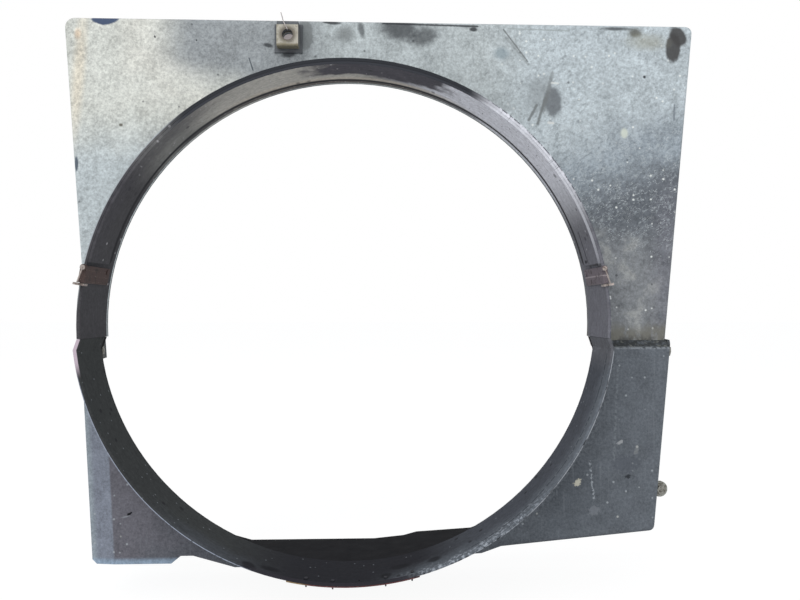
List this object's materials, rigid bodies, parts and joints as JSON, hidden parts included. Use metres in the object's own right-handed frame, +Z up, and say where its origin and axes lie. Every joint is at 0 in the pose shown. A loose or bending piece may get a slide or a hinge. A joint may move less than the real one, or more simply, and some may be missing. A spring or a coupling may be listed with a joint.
{
  "type": "radiator fan shroud",
  "caption": "Radiator fan shroud: an upper and a lower plastic moulding lapped together round a protruding fan ring, with steel clips, wire bails and fixing ears.",
  "frame": {"origin": "on the fan's axis, in the plane of the rear flange that meets the radiator", "axes": "+Y along the fan's axis from the engine towards the radiator, +X to the right seen from the engine, +Z up"},
  "size_m": [0.7567, 0.1499, 0.624],
  "materials": {
    "upper_plastic": "chalky",
    "lower_plastic": "faded",
    "liner_plastic": "matt",
    "clip_steel": "rusted",
    "rivet_steel": "dull",
    "wire_steel": "dull",
    "strip_rubber": "worn",
    "pin_plastic": "matt",
    "nut_steel": "zinc, dull",
    "tie_wire_steel": "dull",
    "bolt_steel": "dull",
    "washer_steel": "dull"
  },
  "bodies": {
    "shroud": {"upper_shell": "upper_plastic", "lower_shell": "lower_plastic", "upper_ring_liner": "liner_plastic", "left_ring_clip": "clip_steel", "right_ring_clip": "clip_steel", "left_clip_rivet": "rivet_steel", "right_clip_rivet": "rivet_steel", "left_hook_strip": "clip_steel", "right_hook_strip": "clip_steel", "lip_strip": "strip_rubber", "lip_pins": "pin_plastic", "top_clip_nut": "nut_steel", "tie_wire": "tie_wire_steel", "side_bolt": "bolt_steel", "side_bolt_washer": "washer_steel", "left_lap_bolts": "bolt_steel", "right_lap_bolts": "bolt_steel", "left_lap_nuts": "bolt_steel", "right_lap_nuts": "bolt_steel", "left_lap_washers": "washer_steel", "right_lap_washers": "washer_steel"},
    "left_bail": {"left_bail": "wire_steel"},
    "right_bail": {"right_bail": "wire_steel"}
  },
  "joints": [
    {"name": "left_bail_turn", "type": "hinge", "parent": "shroud", "child": "left_bail", "pos_m": [-0.25771, -0.1401, 0.05437], "axis": [0, 1, 0], "range_deg": [0, 100]},
    {"name": "right_bail_turn", "type": "hinge", "parent": "shroud", "child": "right_bail", "pos_m": [0.25771, -0.1401, 0.05437], "axis": [0, -1, 0], "range_deg": [0, 100]}
  ]
}
